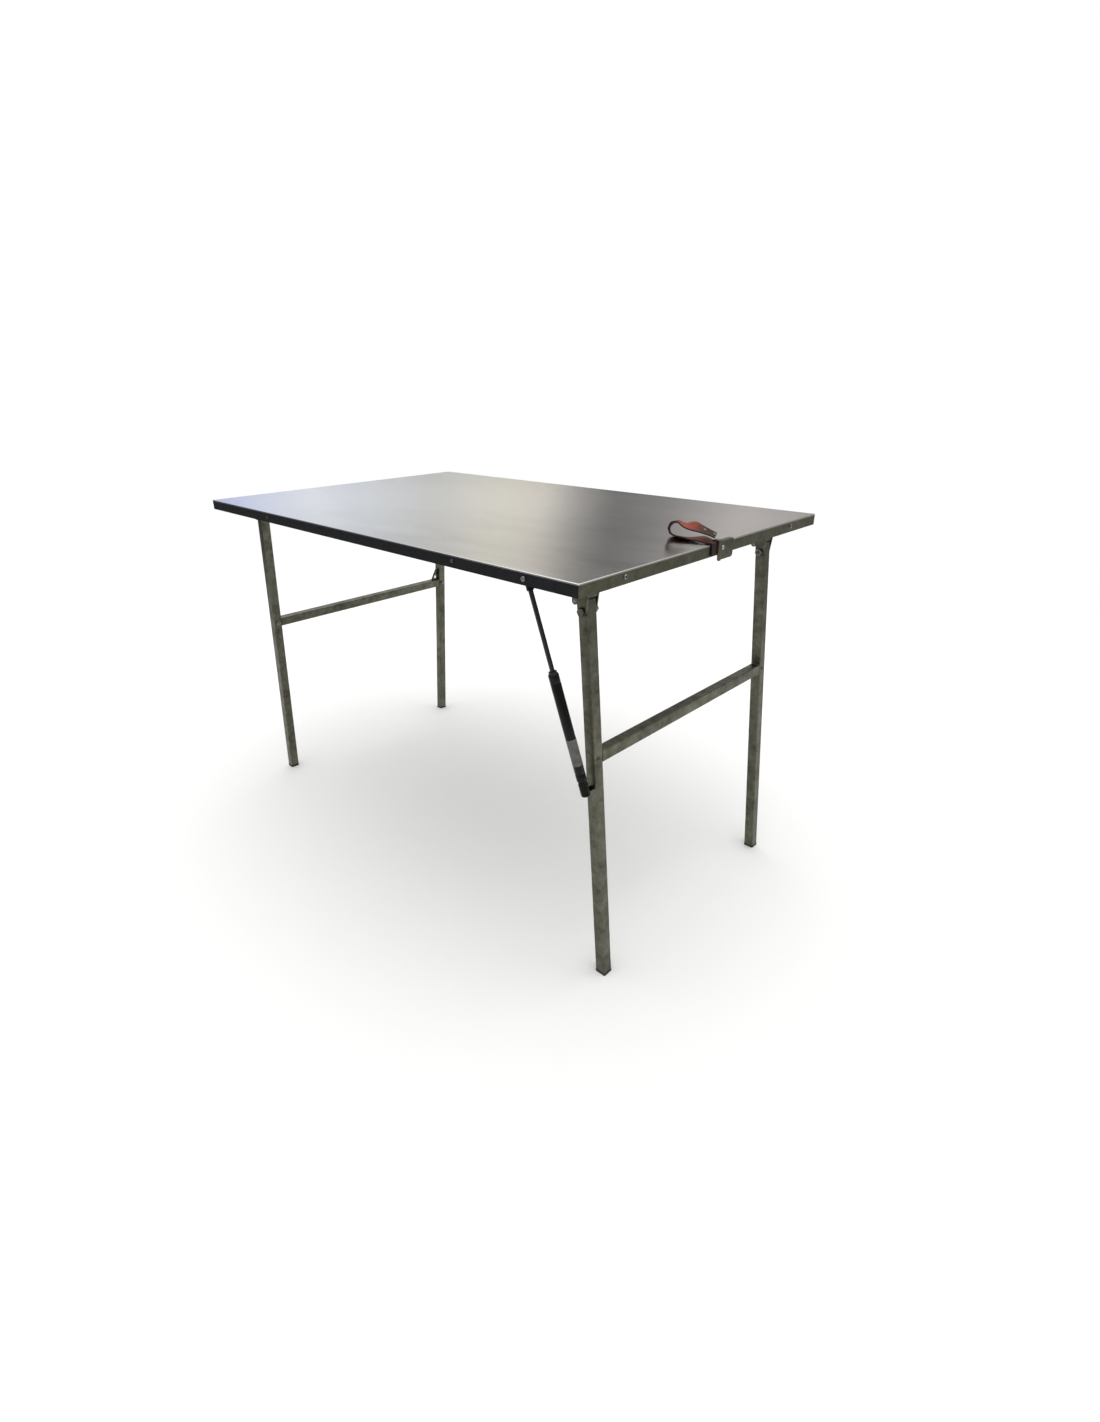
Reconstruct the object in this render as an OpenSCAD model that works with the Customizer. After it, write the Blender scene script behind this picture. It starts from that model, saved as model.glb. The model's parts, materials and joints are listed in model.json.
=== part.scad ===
// Folding table: a sheet-metal tray top on two folding leg frames,
// with a gas strut on the right frame and a leather carrying strap.
// +X runs along the long side, +Y across, +Z up; the floor is z = 0.

/* [Table top] */
// Length of the tray top
top_l = 1220; // [1000:10:1600]
// Width of the tray top
top_w = 770; // [680:10:1000]
// Height of the table above the floor
table_h = 800; // [700:5:960]
// Thickness of the steel sheet
sheet_t = 1.2; // [0.8:0.1:2]
// Depth of the rim all round
rim_depth = 22; // [20:1:34]
// Outer radius of the tray's upright corners
corner_r = 3; // [1:0.5:8]

/* [Rails and tie bars] */
// Width of the box rails under the sheet
rail_w = 36; // [34:1:44]
// Wall of the rails
rail_wall = 1.5; // [1:0.1:2]
// Distance of each rim bolt from the leg line, towards the middle
bolt_shift = 15; // [10:0.5:16]
// Width of the flat tie bars that cross the tray
tie_w = 30; // [20:1:40]
// Thickness of the flat tie bars
tie_t = 2.5; // [1.5:0.5:3]
// Distance of each tie bar from the middle of the table
tie_x = 326; // [200:1:420]

/* [Leg frames] */
// Width of the square leg tube
tube = 22; // [18:1:28]
// Wall of the leg tube
tube_wall = 1.5; // [1:0.1:2.5]
// Outer corner radius of the leg tube
tube_r = 2; // [1:0.5:3]
// Distance of each leg line from the table's middle, across the width
leg_y = 290; // [240:1:300]
// Distance of each frame from the short rim, at the rim's lower edge
frame_inset = 67; // [50:1:90]
// Angle by which each open frame leans outwards
splay = 4.8; // [2:0.1:8]
// Depth of the left frame's pins below the rim
pin_drop_left = 24; // [24:1:30]
// Height gap between the two folded frames
stack_gap = 5; // [2:0.5:12]
// Length of leg tube above the hinge pin
tube_over_pin = 19; // [18:0.5:20]
// Height of the crossbars above the floor
bar_h = 465; // [380:5:520]
// Thickness of the foot caps below the tube
foot_t = 5; // [3:0.5:10]

/* [Hinges] */
// Diameter of the hinge bolts
pin_d = 8; // [6:0.5:8]
// Thickness of the bracket steel
bracket_t = 2.5; // [2:0.5:4]
// Half width of a bracket ear at its top
ear_half = 15; // [13:0.5:18]
// Radius of a bracket ear round the pin
ear_r = 9; // [7:0.5:10]
// Diameter of the stop pin between the ears
stop_d = 6; // [5:0.5:6]

/* [Gas strut] */
// Distance of the strut's rim bolt from the short rim
strut_inset = 113; // [95:1:130]
// Distance of the strut's leg bolt below the hinge pin, along the leg
strut_drop = 319; // [290:1:340]
// Diameter of the strut's rod
rod_d = 8; // [6:0.5:9]
// Outer diameter of the strut's tube
barrel_d = 18; // [16:0.5:20]
// Length of rod that shows when the table is open
rod_show = 144; // [120:1:150]
// Diameter of the ball in the lower end joint
ball_d = 10; // [8:0.5:10]

/* [Carrying strap] */
// Width of the leather strap
strap_w = 28; // [20:1:36]
// Thickness of the leather
strap_t = 2.7; // [2:0.1:4]
// Offset of the strap's middle from the middle of the short rim
strap_y = -18; // [-60:1:60]
// Length of the loop, from the rim to its far end
loop_l = 102; // [80:1:140]
// Height of the loop above the top
loop_h = 32; // [24:1:44]
// Width of the strap's clamp plate
plate_w = 56; // [44:1:80]
// Length by which the clamp plate hangs below the rim
plate_hang = 10; // [0:1:16]

/* [Fits] */
// Radial clearance of the hinge bolts and ball joints
run_gap = 0.05; // [0.02:0.01:0.1]
// Clearance between pieces that are set together
set_gap = 0.2; // [0.1:0.05:0.4]
// Gap between the strut's lower stud and the leg
open_gap = 1; // [0.6:0.1:1.5]

/* [Hidden] */
$fn = 48;

// levels
rim_z = table_h - rim_depth;
under_z = table_h - sheet_t;
tie_z = rim_z + tie_t;
rail_h = under_z - tie_z;

// rails: their outer side is under the brackets' outer edge
rail_l = top_l - 2 * sheet_t - 2 * set_gap;
rail_y = leg_y + 12 - rail_w / 2;
rail_plug_l = 16;
rail_plug_w = 14.8;
rail_bolt_y = leg_y - bolt_shift;
tab_h = rail_h - 3;

// hinges: the left frame folds up first, the right one folds under it
plate_t = tie_t;
plug_t = 1.5;
pin_z_left = rim_z - pin_drop_left;
pin_z_right = pin_z_left - tube - stack_gap;
frame_x = top_l / 2 - frame_inset;
pin_x_left = frame_x + tan(splay) * (rim_z - pin_z_left);
pin_x_right = frame_x + tan(splay) * (rim_z - pin_z_right);
pin_r = pin_d / 2;
bore_r = pin_r + run_gap;
ear_gap = 0.6;
ear_y = tube / 2 + ear_gap;
grip = 2 * (ear_y + bracket_t);
head_t = 4;
nut_t = 6.5;
nut_w = 13;
stop_r = stop_d / 2;
over_tube = norm([tube_over_pin + plug_t, tube / 2]) + 0.7;
stop_side = tube / 2 + stop_r + set_gap;
stop_free = 0.8;
stop_up = (tube / 2 + stop_r + stop_free + stop_side * sin(splay)) / cos(splay);

// small fasteners
rim_head_r = 4.5;
rim_head_t = 2.5;
rim_bolt_r = 2.5;
rivet_r = 2;
rivet_head_r = 3.6;
rivet_head_t = 1.2;
rim_bolt_z = under_z - rail_h / 2;
screw_r = 2.5;
screw_head_r = 4.4;
screw_head_t = 2.2;
screw_x = 27;
bracket_l = 70;

// crossbars
leg_reach = table_h / cos(splay);
insert_in_bar = 25;
insert_w = tube - 2 * tube_wall - set_gap;
tenon_w = 14;
bar_bolt_r = 3;
bar_head_r = 4.2;
bar_head_t = 1.8;
bar_nut_t = 3.5;

// plugs and feet
plug_in = 8;
foot_in = 18;

// corner gusset of the left frame
gusset_l = 34;
gusset_w = 24;
gusset_t = 3;
gusset_hole_r = 5;

// gas strut: strut_p is the middle of its eye, strut_q the ball beside the leg
strut_in_y = 8.5;
strut_out_y = 17;
leg_dir = [sin(splay), 0, -cos(splay)];
pin_right = [pin_x_right, -leg_y, pin_z_right];
strut_p = [top_l / 2 - strut_inset, -top_w / 2 + strut_in_y, rim_bolt_z - 1];
strut_q = [
  pin_x_right + strut_drop * leg_dir[0],
  -leg_y - tube / 2 - strut_out_y,
  pin_z_right + strut_drop * leg_dir[2]
];
strut_d = strut_q - strut_p;
strut_len = norm(strut_d);

// The eye turns on one axis, so the pin leans a little: on it the strut swings
// from strut_q to the place of that ball when the frame is folded flat, less
// the drift that keeps its stud clear of the leg half-way.
strut_drift = 2.4;
strut_q_folded = [pin_x_right - strut_drop, strut_q[1] - strut_drift, pin_z_right];
swing_turn = strut_d / strut_len - (strut_q_folded - strut_p) / norm(strut_q_folded - strut_p);
swing_e = swing_turn / norm(swing_turn);
swing_raw = [0, 1, 0] - swing_e[1] * swing_e;
swing_axis = swing_raw / norm(swing_raw);
eye_w = 6;
eye_r = 8;
eye_pin_r = 4;
eye_shoulder = 1.5;
eye_clip_r = 4.7;
eye_clip_t = 1.5;
rim_nut_t = 2;
ball_r = ball_d / 2;
socket_r = ball_r + 3;
socket_stem_r = 6;
stem_start = eye_clip_r + 1.6;
fitting_r = barrel_d / 2 - 0.5;
socket_stem = 20;
neck_r = 2.4;
rod_top = eye_r + 3;
rod_r = rod_d / 2;
barrel_r = barrel_d / 2;
barrel_wall = 1;
bore_in_r = barrel_r - barrel_wall;
barrel_a = rod_show + socket_stem;
barrel_b = strut_len - socket_stem - 2;
guide_t = 12;
seal_t = 3;
collar_t = 4;
collar_r = barrel_r - 2;
piston_t = 9;
end_cap_t = 6;
label_a = 0.59;
label_l = 51;
label_t = 0.2;

// strap and its clamp plate: the plate steps out over the strap
plate_y0 = strap_y + strap_w / 2 - 9;
step_y = strap_y + strap_w / 2 + 1.5;
clamp_t = 2;
lip_l = 8;
lay_gap = 0.3;
strap_lift = strap_t + 2 * lay_gap;
strap_tail = 21;
loop_r = loop_h / 2;
near_r = 5;
near_x = lip_l + 6;
rivet_pitch = 16;
strap_screw_y = plate_y0 + 20;
plate_corner_r = 5;
stud_r = 3.4;
stud_t = 1.6;
stud_inset = 5;

// a filled square with rounded corners, made of exact arcs
module round_rect(w, d, r) {
  square([w - 2 * r, d], center = true);
  square([w, d - 2 * r], center = true);
  for (sx = [-1, 1], sy = [-1, 1])
    translate([sx * (w / 2 - r), sy * (d / 2 - r)]) circle(r);
}

module tube_section(w, wall, r) {
  difference() {
    round_rect(w, w, r);
    round_rect(w - 2 * wall, w - 2 * wall, max(r - wall, 0.4));
  }
}

// a cylinder along +Y or +X from the origin
module rod_y(r, l) {
  rotate([-90, 0, 0]) cylinder(r = r, h = l);
}

module rod_x(r, l) {
  rotate([0, 90, 0]) cylinder(r = r, h = l);
}

// a low domed head whose flat side is on z = 0, made by a full turn
module dome_head(r, t) {
  rotate_extrude() {
    square([r, t * 0.4]);
    square([r * 0.72, t]);
    translate([r * 0.72, t * 0.4]) intersection() {
      circle(min(t * 0.6, r * 0.28));
      square(r);
    }
  }
}

module hex_head(across, t) {
  cylinder(d = across / cos(30), h = t, $fn = 6);
}

// ---- tray top ----
module tray_outline(inset) {
  round_rect(top_l - 2 * inset, top_w - 2 * inset, max(corner_r - inset, 0.5));
}

module rim_holes() {
  for (sx = [-1, 1], sy = [-1, 1]) {
    translate([sx * (top_l / 2 + 1), sy * rail_bolt_y, rim_bolt_z])
      rotate([0, -sx * 90, 0]) cylinder(r = rim_bolt_r + run_gap, h = 4 * sheet_t + 2);
    translate([sx * tie_x, sy * (top_w / 2 + 1), rim_bolt_z])
      rotate([sy * 90, 0, 0]) cylinder(r = rivet_r + run_gap, h = 4 * sheet_t + 2);
  }
  translate([strut_p[0], -top_w / 2 - 1, strut_p[2]]) rod_y(neck_r + run_gap, 4);
  translate([top_l / 2 - 3, strap_screw_y, rim_bolt_z]) rod_x(screw_r + run_gap, 5);
}

module top_sheet() {
  color("gainsboro") difference() {
    translate([0, 0, rim_z]) linear_extrude(rim_depth) tray_outline(0);
    translate([0, 0, rim_z - 1]) linear_extrude(rim_depth - sheet_t + 1) tray_outline(sheet_t);
    rim_holes();
  }
}

// ---- rails, tie bars and their fixings ----
module rail(side) {
  color("dimgray") difference() {
    translate([-rail_l / 2, side * rail_y, tie_z + rail_h / 2]) rotate([90, 0, 90])
      linear_extrude(rail_l) difference() {
        square([rail_w, rail_h - set_gap], center = true);
        square([rail_w - 2 * rail_wall, rail_h - set_gap - 2 * rail_wall], center = true);
      }
    for (x = [pin_x_right, -pin_x_left], s = [-1, 1])
      translate([x + s * screw_x, side * leg_y, tie_z - 1]) cylinder(r = screw_r + run_gap, h = 5);
  }
}

// each rail bolt screws into a plug that fills the end of the rail
module rail_bolts() {
  color("slategray") for (sx = [-1, 1], sy = [-1, 1])
    translate([sx * top_l / 2, sy * rail_bolt_y, rim_bolt_z]) rotate([0, sx * 90, 0]) {
      dome_head(rim_head_r, rim_head_t);
      translate([0, 0, -rail_plug_l]) cylinder(r = rim_bolt_r, h = rail_plug_l + 0.1);
      translate([0, 0, -rail_plug_l - sheet_t]) linear_extrude(rail_plug_l - 2 * sheet_t)
        square([rail_h - 2 * rail_wall - 2 * set_gap, rail_plug_w], center = true);
    }
}

module tie_bar(side) {
  color("dimgray") difference() {
    union() {
      translate([side * tie_x - tie_w / 2, -top_w / 2 + sheet_t + set_gap, rim_z])
        cube([tie_w, top_w - 2 * sheet_t - 2 * set_gap, tie_t - lay_gap]);
      for (sy = [-1, 1])
        translate([side * tie_x, sy * (top_w / 2 - sheet_t - set_gap - tie_t / 2), rim_z + (tie_t + tab_h) / 2])
          cube([tie_w, tie_t, tie_t + tab_h], center = true);
    }
    for (sy = [-1, 1])
      translate([side * tie_x, sy * (top_w / 2 + 1), rim_bolt_z])
        rotate([sy * 90, 0, 0]) cylinder(r = rivet_r + run_gap, h = 4 * tie_t);
  }
}

module tie_bar_rivets() {
  shank = sheet_t + set_gap + tie_t;
  color("gray") for (sx = [-1, 1], sy = [-1, 1])
    translate([sx * tie_x, sy * top_w / 2, rim_bolt_z]) rotate([-sy * 90, 0, 0]) {
      dome_head(rivet_head_r, rivet_head_t);
      translate([0, 0, -shank - rivet_head_t]) cylinder(r = rivet_r, h = shank + rivet_head_t + 0.1);
      translate([0, 0, -shank - rivet_head_t]) cylinder(r = rivet_head_r - 0.6, h = rivet_head_t);
    }
}

// ---- hinge brackets: side +1 is the right frame, -1 the left one ----
function pin_z(side) = side > 0 ? pin_z_right : pin_z_left;
function pin_x(side) = side > 0 ? pin_x_right : pin_x_left;

// children are placed with the pin at the origin and +X pointing outwards
module at_pin(side, row) {
  translate([side * pin_x(side), row * leg_y, pin_z(side)])
    mirror([side > 0 ? 0 : 1, 0, 0]) children();
}

// the same place, turned so that -Z runs down the leg
module along_leg(side, row) {
  at_pin(side, row) rotate([0, -splay, 0]) children();
}

// where the stop pin is, with the pin at the origin
stop_at = [
  -stop_side * cos(splay) - stop_up * sin(splay),
  -stop_side * sin(splay) + stop_up * cos(splay)
];

module hinge_bracket(side, row) {
  up = tie_z - plate_t - pin_z(side);
  color("darkslategray") at_pin(side, row) difference() {
    union() {
      translate([-bracket_l / 2, -grip / 2, up]) cube([bracket_l, grip, plate_t - lay_gap]);
      for (s = [-1, 1])
        translate([0, s * (ear_y + bracket_t / 2) + bracket_t / 2, 0]) rotate([90, 0, 0])
          linear_extrude(bracket_t) union() {
            circle(ear_r);
            polygon([[-ear_half, up + 1], [-ear_half, up - 6], [-ear_r, 0], [ear_r, 0], [ear_half, up - 6], [ear_half, up + 1]]);
            translate([-abs(stop_at[0]), stop_at[1]]) circle(stop_r + 2.5);
            translate([-abs(stop_at[0]) - stop_r - 2.5, stop_at[1]]) square([10, up - stop_at[1]]);
          }
      // where there is room over the turning tube, a web closes the outer side
      if (up > over_tube + bracket_t)
        translate([ear_r, -grip / 2, over_tube]) cube([bracket_t, grip, up - over_tube + 1]);
    }
    translate([0, -grip / 2 - 1, 0]) rod_y(bore_r, grip + 2);
    translate([stop_at[0], -grip / 2 - 1, stop_at[1]]) rod_y(stop_r + run_gap, grip + 2);
    for (s = [-1, 1]) translate([s * screw_x, 0, up - 1]) cylinder(r = screw_r + run_gap, h = plate_t + 2);
  }
}

module bracket_screws() {
  color("slategray") for (side = [-1, 1], row = [-1, 1], s = [-1, 1])
    at_pin(side, row) translate([s * screw_x, 0, tie_z - plate_t - pin_z(side)]) {
      cylinder(r = screw_r, h = plate_t + rail_wall + 4);
      rotate([180, 0, 0]) dome_head(screw_head_r, screw_head_t);
    }
}

module stop_pins() {
  color("gray") for (side = [-1, 1], row = [-1, 1])
    at_pin(side, row) translate([stop_at[0], -grip / 2, stop_at[1]]) rod_y(stop_r, grip);
}

// heads face outwards from the table, nuts inwards
module hinge_bolts(side) {
  color("slategray") for (row = [-1, 1])
    at_pin(side, row) rotate([row > 0 ? 180 : 0, 0, 0]) translate([0, -grip / 2, 0]) {
      rod_y(pin_r, grip + nut_t + 1.5);
      rotate([90, 0, 0]) hex_head(nut_w, head_t);
    }
}

module hinge_nuts(side) {
  color("silver") for (row = [-1, 1])
    at_pin(side, row) rotate([row > 0 ? 180 : 0, 0, 0]) translate([0, grip / 2, 0])
      rotate([-90, 0, 0]) difference() {
        hex_head(nut_w, nut_t);
        translate([0, 0, -1]) cylinder(r = bore_r, h = nut_t + 2);
      }
}

// ---- leg frames ----
module leg_bar_drop(side) {
  translate([0, 0, -(pin_z(side) - bar_h) / cos(splay)]) children();
}

module slab(z0, z1) {
  translate([-top_l, -top_w, z0]) cube([2 * top_l, 2 * top_w, z1 - z0]);
}

module leg(side, row) {
  color("dimgray") intersection() {
    along_leg(side, row) difference() {
      translate([0, 0, -leg_reach]) linear_extrude(leg_reach + tube_over_pin) tube_section(tube, tube_wall, tube_r);
      translate([0, -tube, 0]) rod_y(bore_r, 2 * tube);
      leg_bar_drop(side) {
        translate([-tenon_w / 2 - set_gap, row > 0 ? -tube / 2 - 1 : 0, -tenon_w / 2 - set_gap])
          cube([tenon_w + 2 * set_gap, tube / 2 + 1, tenon_w + 2 * set_gap]);
        translate([-tube, 0, 0]) rod_x(bar_bolt_r + run_gap, 2 * tube);
      }
      if (side > 0 && row < 0) translate([0, -tube, -strut_drop]) rod_y(neck_r + run_gap, 2 * tube);
    }
    slab(foot_t, table_h);
  }
}

module crossbar(side) {
  color("dimgray") along_leg(side, 0) leg_bar_drop(side)
    translate([0, leg_y - tube / 2, 0]) rotate([90, 0, 0])
      linear_extrude(2 * leg_y - tube) tube_section(tube, tube_wall, tube_r);
}

module bar_inserts(side) {
  reach = tube - tube_wall - set_gap;
  color("gray") for (row = [-1, 1])
    along_leg(side, row) leg_bar_drop(side) rotate([0, 0, row > 0 ? 180 : 0]) difference() {
      union() {
        translate([0, tube / 2 + set_gap + insert_in_bar, 0]) rotate([90, 0, 0])
          linear_extrude(insert_in_bar) round_rect(insert_w, insert_w, 1);
        translate([-tenon_w / 2, tube / 2 - reach, -tenon_w / 2]) cube([tenon_w, reach + 1, tenon_w]);
      }
      translate([-tube, 0, 0]) rod_x(bar_bolt_r + run_gap, 2 * tube);
    }
}

module bar_bolts(side) {
  color("black") for (row = [-1, 1])
    along_leg(side, row) leg_bar_drop(side) {
      translate([-tube / 2 - bar_nut_t, 0, 0]) rod_x(bar_bolt_r, tube + bar_nut_t + 0.1);
      translate([tube / 2, 0, 0]) rotate([0, 90, 0]) dome_head(bar_head_r, bar_head_t);
    }
}

module bar_nuts(side) {
  color("silver") for (row = [-1, 1])
    along_leg(side, row) leg_bar_drop(side) translate([-tube / 2 - bar_nut_t, 0, 0]) rotate([0, 90, 0])
      difference() {
        hex_head(10, bar_nut_t);
        translate([0, 0, -1]) cylinder(r = bar_bolt_r + run_gap, h = bar_nut_t + 2);
      }
}

// closes a tube end; the plug's flange is as wide as the tube
module leg_plugs(side) {
  color("black") for (row = [-1, 1])
    along_leg(side, row) translate([0, 0, tube_over_pin]) {
      linear_extrude(plug_t) round_rect(tube, tube, tube_r);
      translate([0, 0, -plug_in]) linear_extrude(plug_in + 0.1) round_rect(insert_w, insert_w, 1);
    }
}

module foot(side, row) {
  color("black") union() {
    intersection() {
      along_leg(side, row) translate([0, 0, -leg_reach]) linear_extrude(leg_reach) round_rect(tube + 1, tube + 1, tube_r);
      slab(0, foot_t);
    }
    intersection() {
      along_leg(side, row) translate([0, 0, -leg_reach]) linear_extrude(leg_reach) round_rect(insert_w, insert_w, 1);
      slab(foot_t - 1, foot_t + foot_in);
    }
  }
}

// a small holed plate welded into the corner above the left crossbar
module corner_gusset() {
  color("dimgray") along_leg(-1, 1) leg_bar_drop(-1)
    translate([gusset_t / 2, -tube / 2, tube / 2]) rotate([90, 0, -90])
      linear_extrude(gusset_t) difference() {
        polygon([[0, 0], [gusset_w, 0], [gusset_w, gusset_t], [8, gusset_l], [0, gusset_l]]);
        translate([9, 9]) circle(gusset_hole_r);
      }
}

// screw and nut that hold the strut's lower stud to the leg
module strut_leg_bolt() {
  color("slategray") along_leg(1, -1) translate([0, 0, -strut_drop]) {
    translate([0, -tube / 2, 0]) rod_y(neck_r, tube + 5);
    translate([0, tube / 2, 0]) rotate([-90, 0, 0]) hex_head(8, 4);
  }
}

// ---- gas strut ----
// children are placed with the eye's middle at the origin and +Z down the strut
module along_strut() {
  translate(strut_p)
    rotate([0, acos(strut_d[2] / strut_len), atan2(strut_d[1], strut_d[0])]) children();
}

// children are placed with the eye's middle at the origin and +Z along its pin
module along_eye() {
  translate(strut_p)
    rotate([0, acos(swing_axis[2]), atan2(swing_axis[1], swing_axis[0])]) children();
}

// stud in the rim with the leaning pin that the strut's eye turns on
module strut_rim_stud() {
  color("slategray") {
    along_eye() {
      translate([0, 0, -eye_w / 2 - eye_shoulder]) cylinder(r = eye_pin_r, h = eye_w + eye_shoulder + eye_clip_t);
      translate([0, 0, -eye_w / 2 - eye_shoulder]) cylinder(r = eye_clip_r, h = eye_shoulder - set_gap);
      translate([0, 0, eye_w / 2 + set_gap]) cylinder(r = eye_clip_r, h = eye_clip_t);
    }
    translate(strut_p - [0, strut_in_y, 0]) rod_y(neck_r, strut_in_y - eye_w / 2 - eye_shoulder / 2);
    translate(strut_p - [0, strut_in_y, 0]) rotate([90, 0, 0]) dome_head(rim_head_r, rim_head_t);
  }
}

module strut_rim_nut() {
  color("silver") translate([strut_p[0], -top_w / 2 + sheet_t, strut_p[2]]) rotate([-90, 0, 0]) difference() {
    hex_head(8, rim_nut_t);
    translate([0, 0, -1]) cylinder(r = neck_r + run_gap, h = rim_nut_t + 2);
  }
}

module rod_eye() {
  color("dimgray") difference() {
    union() {
      along_eye() translate([0, 0, -eye_w / 2]) cylinder(r = eye_r, h = eye_w);
      along_strut() translate([0, 0, stem_start]) cylinder(r = socket_stem_r, h = socket_stem - stem_start);
    }
    along_eye() translate([0, 0, -eye_w]) cylinder(r = eye_pin_r + run_gap, h = 2 * eye_w);
    along_strut() translate([0, 0, rod_top]) cylinder(r = rod_r + run_gap, h = socket_stem);
  }
}

module strut_rod() {
  color("silver") along_strut() translate([0, 0, rod_top])
    cylinder(r = rod_r, h = barrel_a + guide_t + seal_t + piston_t + 2 - rod_top);
}

module strut_piston() {
  color("gray") along_strut() translate([0, 0, barrel_a + guide_t + seal_t + 1]) difference() {
    cylinder(r = bore_in_r - set_gap, h = piston_t);
    translate([0, 0, -1]) cylinder(r = rod_r + run_gap, h = piston_t + 2);
  }
}

module strut_barrel() {
  color("black") along_strut() difference() {
    translate([0, 0, barrel_a]) cylinder(r = barrel_r, h = barrel_b - barrel_a);
    translate([0, 0, barrel_a - 1]) cylinder(r = bore_in_r, h = barrel_b - barrel_a - end_cap_t + 1);
  }
}

module strut_guide() {
  color("dimgray") along_strut() difference() {
    union() {
      translate([0, 0, barrel_a]) cylinder(r = bore_in_r, h = guide_t);
      translate([0, 0, barrel_a - collar_t]) cylinder(r = collar_r, h = collar_t + 1);
    }
    translate([0, 0, barrel_a - collar_t - 1]) cylinder(r = rod_r + run_gap, h = guide_t + collar_t + 2);
  }
}

module rod_seal() {
  color("black") along_strut() translate([0, 0, barrel_a + guide_t]) difference() {
    cylinder(r = bore_in_r, h = seal_t);
    translate([0, 0, -1]) cylinder(r = rod_r + run_gap, h = seal_t + 2);
  }
}

// a thin blank sleeve round the barrel
module strut_label() {
  start = barrel_a + (barrel_b - barrel_a) * label_a;
  color("gray") along_strut() translate([0, 0, start]) difference() {
    cylinder(r = barrel_r + label_t + 0.02, h = label_l);
    translate([0, 0, -1]) cylinder(r = barrel_r + 0.02, h = label_l + 2);
  }
}

// ball socket with its mouth towards the leg
module barrel_socket() {
  color("dimgray") difference() {
    along_strut() translate([0, 0, barrel_b]) cylinder(r = fitting_r, h = strut_len - barrel_b + socket_r);
    translate(strut_q) sphere(ball_r + run_gap);
    translate(strut_q) rotate([-90, 0, 0]) cylinder(r1 = 1, r2 = ball_r + 1, h = fitting_r + 1.5);
  }
}

module barrel_stud() {
  color("dimgray") translate(strut_q) {
    sphere(ball_r);
    rod_y(neck_r + 0.6, strut_out_y - open_gap);
    translate([0, strut_out_y - open_gap - 4, 0]) rotate([-90, 0, 0]) hex_head(8, 4);
  }
}

// ---- carrying strap at the right short rim ----
module strap_plate() {
  top_z = table_h + lay_gap;
  low_z = rim_z - plate_hang;
  rim_x = top_l / 2;
  wide = plate_y0 + plate_w - step_y;
  color("gray") difference() {
    union() {
      // resting on the rim
      translate([rim_x, step_y, low_z]) cube([clamp_t, wide, top_z + clamp_t - low_z]);
      translate([rim_x - lip_l, step_y, top_z]) cube([lip_l + clamp_t, wide, clamp_t]);
      // stepped out over the strap
      translate([rim_x + strap_lift, plate_y0, low_z])
        cube([clamp_t, step_y + clamp_t - plate_y0, top_z + strap_lift + clamp_t - low_z]);
      translate([rim_x - lip_l, plate_y0, top_z + strap_lift])
        cube([lip_l + strap_lift + clamp_t, step_y + clamp_t - plate_y0, clamp_t]);
      // the step between them
      translate([rim_x, step_y, low_z]) cube([strap_lift + clamp_t, clamp_t, top_z + strap_lift + clamp_t - low_z]);
      translate([rim_x - lip_l, step_y, top_z]) cube([lip_l + clamp_t, clamp_t, strap_lift + clamp_t]);
    }
    translate([rim_x - 1, strap_screw_y, rim_bolt_z]) rod_x(screw_r + run_gap, clamp_t + 2);
    // rounded lower corner
    translate([rim_x - 1, plate_y0 + plate_w, low_z]) rotate([0, 90, 0]) difference() {
      cube([2 * plate_corner_r, 2 * plate_corner_r, 8], center = true);
      translate([-plate_corner_r, -plate_corner_r, -5]) cylinder(r = plate_corner_r, h = 10);
    }
  }
}

module strap_screw() {
  color("silver") translate([top_l / 2 + clamp_t, strap_screw_y, rim_bolt_z]) {
    rotate([0, 90, 0]) dome_head(4, 2.4);
    translate([-8, 0, 0]) rod_x(screw_r, 8.1);
    translate([-clamp_t - sheet_t - 3, 0, 0]) rotate([0, 90, 0]) hex_head(8, 3);
  }
}

// side view of the loop: a flat run, a round far end and a sloping top run
module loop_outline(t) {
  hull() {
    translate([-loop_l + loop_r, loop_r]) circle(loop_r - t, $fn = 32);
    translate([-near_x, near_r]) circle(near_r - t, $fn = 32);
  }
}

module leather_strap() {
  rim_x = top_l / 2;
  color("chocolate") translate([rim_x, strap_y + strap_w / 2, table_h + lay_gap]) rotate([90, 0, 0])
    linear_extrude(strap_w) {
      difference() {
        loop_outline(0);
        loop_outline(strap_t);
      }
      translate([-near_x, 0]) square([near_x + lay_gap + strap_t, strap_t]);
      translate([lay_gap, -strap_tail]) square([strap_t, strap_tail + strap_t]);
    }
}

// two rivets on the loop's top run, whose slope follows from the loop's circles
module strap_rivets() {
  run = loop_l - loop_r - near_x;
  rise = loop_r - near_r;
  slope = atan2(rise, run) + asin(rise / norm([run, rise]));
  color("darkkhaki") translate([top_l / 2 - near_x, strap_y, table_h + lay_gap + near_r])
    rotate([0, slope, 0]) for (k = [0, 1])
      translate([-stud_inset - rivet_pitch * k, 0, near_r + 0.05]) dome_head(stud_r, stud_t);
}

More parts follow.
